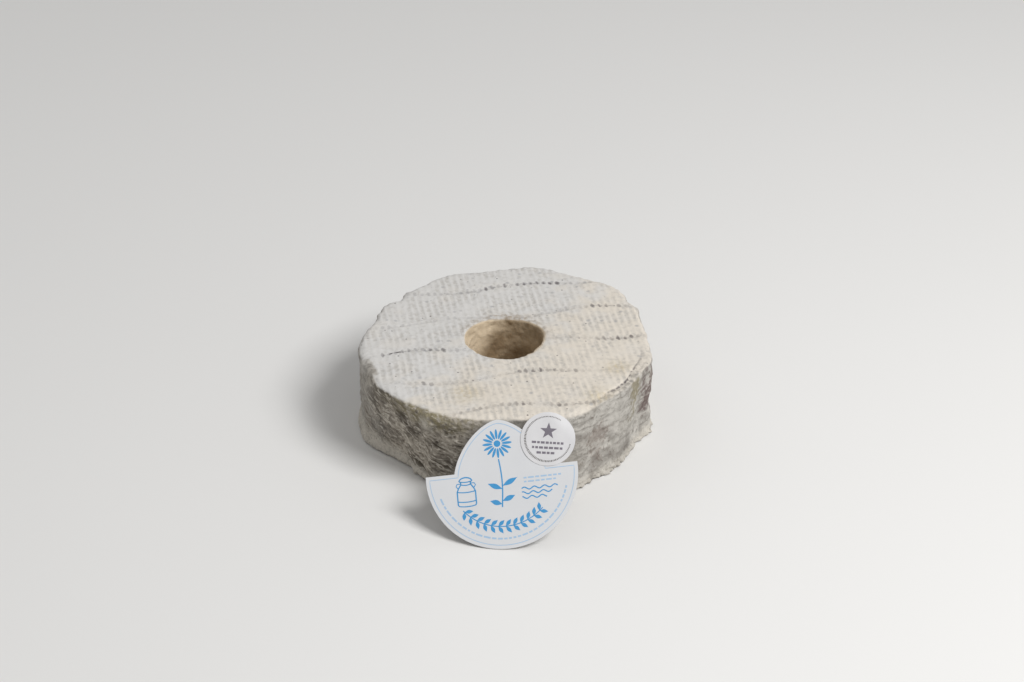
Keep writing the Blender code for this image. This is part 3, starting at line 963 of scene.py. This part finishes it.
def ink_material(name, ink):
    """Offset printing ink on coated board: thin, even and satin, a touch lighter where it is thin."""
    material, node, surface, place = new_material(name, Roughness=0.4)
    spread = node("TexNoise", {"Vector": place, "Scale": 1 / (0.9 * MM), "Detail": 2.0}).outputs["Fac"]
    thin = tuple(value + 0.06 * (1 - value) for value in ink)
    return coloured(material, surface, node("Mix", (spread, ink, thin)))


class CHEESE_OT_label(bpy.types.Operator):
    """Gives the card label its white coating, its border line and its blue drawings"""

    bl_idname = "cheese.label"
    bl_label = "Printed card label"

    def execute(self, context):
        settings = context.scene.cheese_print
        card = frame["nodes"]["label"]
        card.data.materials.clear()
        card.data.materials.append(card_material(settings))
        turn, low, high = card_plane("label", CARD_ROLL)
        middle = Vector(((low.x + high.x) / 2, low.y + CARD_RADIUS, high.z))
        plane = turn @ Matrix.Translation(middle)
        drawings = (draw_daisy, draw_churn, draw_garland, draw_hills)
        for name, ink_name, ink, draws in (
            ("label_border", "pale_blue_offset_ink", settings.pale_ink, (draw_border, draw_dashes)),
            ("label_drawings", "blue_offset_ink", settings.ink, drawings),
        ):
            pen = Pen(lambda _x, _y: INK_GAP, settings.ink_height)
            for draw in draws:
                draw(pen, settings)
            pen.finish(name, plane, ink_material(ink_name, ink))
        return {"FINISHED"}


def sticker_material(settings):
    """Self-adhesive matt coated paper, punched round: a clean, slightly cool white without shine."""
    material, node, surface, place = new_material("matt_sticker_paper", Roughness=0.5)
    cloud = node("TexNoise", {"Vector": place, "Scale": 1 / (3 * MM), "Detail": 3.0}).outputs["Fac"]
    darker = tuple(0.92 * value for value in settings.paper)
    return coloured(material, surface, node("Mix", (cloud, settings.paper, darker)))


def draw_paper(pen, _settings):
    """The round paper, as fine rings of faces on its back and its front, joined along the edge."""
    rings, steps = 14, 96
    last = 360 * (steps - 1) / steps
    circles = [arc(STICKER_RADIUS * r / rings, 0, last, steps - 1) for r in range(1, rings + 1)]
    back, front = zip(*(pen.corners(circle) for circle in [[(0.0, 0.0)], *circles]))
    for i in range(steps):
        j = (i + 1) % steps
        for side in (back, front):
            pen.shape.faces.new((side[0][0], side[1][i], side[1][j]))
            for near, far in zip(side[1:], side[2:]):
                pen.shape.faces.new((near[i], far[i], far[j], near[j]))
        pen.shape.faces.new((back[-1][i], back[-1][j], front[-1][j], front[-1][i]))


def draw_ring(pen, settings):
    """A ring of beads, thick at the lower left and broken at the right."""
    for start, end in dash_row(-300, -10, 1.4, 2.2, 1.9, 9):
        width = (0.36 + 0.36 * bell(start + 140, 80)) * MM
        pen.line(arc(settings.ring_radius, start, end, 3), width)


def draw_star_and_bars(pen, _settings):
    """A five-pointed star above three rows of bars."""
    reaches = (2.9 * MM, 1.15 * MM) * 5
    turns = [math.radians(90 + 36 * i) for i in range(10)]
    pen.fill([(reach * math.cos(t), 2.6 * MM + reach * math.sin(t)) for reach, t in zip(reaches, turns)])
    for row, half in enumerate((5.2, 5.0, 3.4)):
        pen.dashes(dash_row(-half, half, 0.7, 1.5, 0.35, row + 3), (-1.3 - 1.7 * row) * MM, 0.75 * MM)


class CHEESE_OT_sticker(bpy.types.Operator):
    """Makes the round paper sticker, its free edge curling back, with its ring, star and bars"""

    bl_idname = "cheese.sticker"
    bl_label = "Round sticker"

    def execute(self, context):
        settings = context.scene.cheese_sticker
        turn, low, high = card_plane("round_sticker", 0.0)
        card_top = card_plane("label", CARD_ROLL)[2].z
        middle = Vector(((low.x + high.x) / 2, (low.y + high.y) / 2, card_top + PAPER_WAVE))
        plane = turn @ Matrix.Translation(middle)

        def under(x, y):
            """Height of the paper's back."""
            out = max(0.0, (x * math.cos(CURL_WAY) + y * math.sin(CURL_WAY)) / STICKER_RADIUS)
            wave = PAPER_WAVE * math.sin(x / MM * 0.7)
            return -settings.curl * out**3 * step(0.5, 1.0, np.float64(out)) + wave

        def front(x, y):
            """Height of the ink's back, just clear of the paper's front."""
            return under(x, y) + settings.thickness + INK_GAP

        grey = ink_material("grey_offset_ink", settings.ink)
        dark = ink_material("dark_offset_ink", settings.ring_ink)
        for name, material, surface, thickness, draw in (
            ("round_sticker_paper", sticker_material(settings), under, settings.thickness, draw_paper),
            ("sticker_star_and_bars", grey, front, STICKER_INK_HEIGHT, draw_star_and_bars),
            ("sticker_ring", dark, front, STICKER_INK_HEIGHT, draw_ring),
        ):
            pen = Pen(surface, thickness)
            draw(pen, settings)
            piece = pen.finish(name, plane, material)
            if draw is draw_paper:
                piece.data.shade_smooth()
                piece.data.set_sharp_from_angle(angle=math.radians(40))
                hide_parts("round_sticker")
        return {"FINISHED"}


def look_at(item, target):
    """Turns an object so that it faces a point, upright."""
    way = target - item.location
    item.rotation_euler = way.to_track_quat("-Z", "Y").to_euler()


def floor_material(settings):
    """Matt painted board: an even pale surface without shine or pattern."""
    material, node, surface, place = new_material("matt_painted_board", Roughness=0.8)
    cloud = node("TexNoise", {"Vector": place, "Scale": 6.0, "Detail": 2.0}).outputs["Fac"]
    darker = tuple(0.985 * value for value in settings.floor)
    return coloured(material, surface, node("Mix", (cloud, settings.floor, darker)))


class CHEESE_OT_stage(bpy.types.Operator):
    """Sets up the pale floor, the soft studio light and the camera"""

    bl_idname = "cheese.stage"
    bl_label = "Stage"

    def execute(self, context):
        settings = context.scene.cheese_stage
        scene = context.scene
        bpy.ops.mesh.primitive_plane_add(size=FLOOR_SIZE)
        floor = context.object
        floor.name = "floor"
        floor.data.materials.append(floor_material(settings))
        aim = (RING_AXIS + AIM_OFF_AXIS).to_3d() + Vector((0.0, 0.0, RING_HEIGHT))
        for name, place, size, power in LAMPS:
            light = bpy.data.lights.new(name, "AREA")
            light.size = size
            light.energy = power
            lamp = add_object(name, light)
            lamp.location = Vector(place)
            look_at(lamp, aim)
        world = bpy.data.worlds.new("studio")
        world.use_nodes = True
        sky = world.node_tree.nodes["Background"]
        sky.inputs["Color"].default_value = (1.0, 1.0, 1.0, 1.0)
        sky.inputs["Strength"].default_value = SKY_STRENGTH
        scene.world = world
        camera = add_object("camera", bpy.data.cameras.new("camera"))
        camera.data.lens = settings.lens
        camera.data.clip_start = 0.01
        way = Vector((0.0, math.cos(settings.tilt), -math.sin(settings.tilt)))
        camera.location = aim - way * settings.distance
        look_at(camera, aim)
        scene.camera = camera
        scene.view_settings.view_transform = "Standard"
        return {"FINISHED"}


class CHEESE_PT_panel(bpy.types.Panel):
    """Lists the steps and the settings of the goat cheese ring."""

    bl_idname = "CHEESE_PT_panel"
    bl_label = "Goat Cheese Ring"
    bl_space_type = "VIEW_3D"
    bl_region_type = "UI"
    bl_category = "Cheese"

    def draw(self, context):
        for name, operator in STEPS:
            box = self.layout.box()
            box.operator(operator.bl_idname)
            settings = getattr(context.scene, name)
            for key in settings.__annotations__:
                box.prop(settings, key)


STEPS = (
    ("cheese_rind", CHEESE_OT_rind),
    ("cheese_print", CHEESE_OT_label),
    ("cheese_sticker", CHEESE_OT_sticker),
    ("cheese_stage", CHEESE_OT_stage),
)
GROUPS = (RindSettings, PrintSettings, StickerSettings, StageSettings)


def register():
    """Makes the settings, the operators and the panel known to Blender."""
    for group, (name, operator) in zip(GROUPS, STEPS):
        bpy.utils.register_class(group)
        bpy.utils.register_class(operator)
        setattr(bpy.types.Scene, name, PointerProperty(type=group))
    bpy.utils.register_class(CHEESE_PT_panel)


def unregister():
    """Takes them away again."""
    bpy.utils.unregister_class(CHEESE_PT_panel)
    for group, (name, operator) in zip(GROUPS, STEPS):
        delattr(bpy.types.Scene, name)
        bpy.utils.unregister_class(operator)
        bpy.utils.unregister_class(group)


def main():
    """Builds the looks step by step."""
    register()
    bpy.ops.cheese.rind()
    bpy.ops.cheese.label()
    bpy.ops.cheese.sticker()
    bpy.ops.cheese.stage()


if __name__ == "__main__":
    main()
